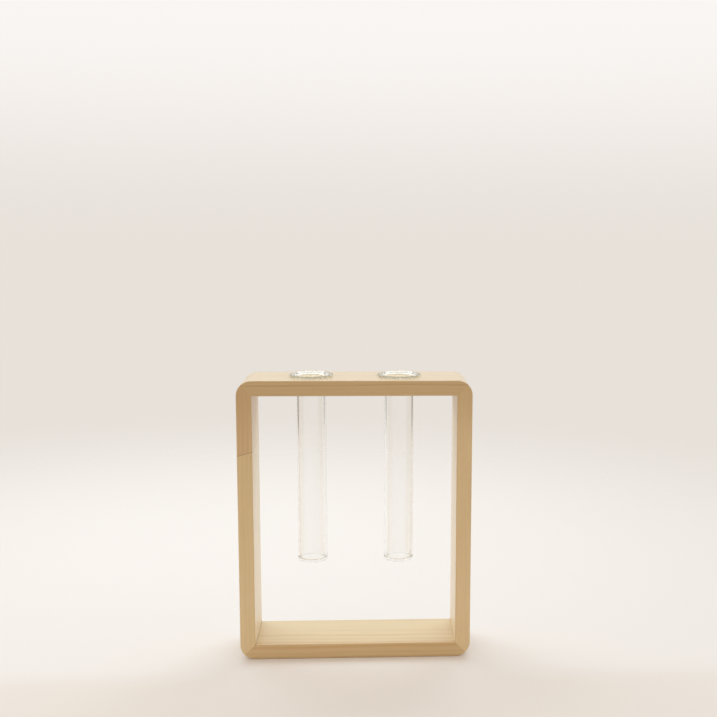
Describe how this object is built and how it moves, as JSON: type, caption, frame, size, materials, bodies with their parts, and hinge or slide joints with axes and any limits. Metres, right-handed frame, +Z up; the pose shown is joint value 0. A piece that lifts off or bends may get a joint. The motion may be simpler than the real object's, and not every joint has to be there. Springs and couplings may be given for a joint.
{
  "type": "test tube vase",
  "caption": "Upright rectangular wooden frame with rounded corners that stands on a table; flared flat-based glass tubes for single stems hang in holes through its top rail and lift out.",
  "frame": {"origin": "on the table, under the middle of the frame", "axes": "+Z up, +X to the right along the frame's width as seen from the front, +Y to the back"},
  "size_m": [0.155, 0.042, 0.1917],
  "materials": {
    "frame_wood": "pale sanded wood, matt oil",
    "joint_wood": "raw beech",
    "tube_glass": "clear polished"
  },
  "bodies": {
    "frame": {"top_rail": "frame_wood", "bottom_rail": "frame_wood", "left_stile_upper": "frame_wood", "left_stile_lower": "frame_wood", "right_stile": "frame_wood", "top_left_tongue": "joint_wood", "top_right_tongue": "joint_wood", "bottom_left_tongue": "joint_wood", "bottom_right_tongue": "joint_wood", "stile_dowel_front": "joint_wood", "stile_dowel_back": "joint_wood"},
    "left_tube": {"left_tube": "tube_glass"},
    "right_tube": {"right_tube": "tube_glass"}
  },
  "joints": [
    {"name": "left_tube_lift", "type": "slide", "parent": "frame", "child": "left_tube", "axis": [0, 0, 1], "range_m": [0, 0.135]},
    {"name": "right_tube_lift", "type": "slide", "parent": "frame", "child": "right_tube", "axis": [0, 0, 1], "range_m": [0, 0.135]}
  ]
}
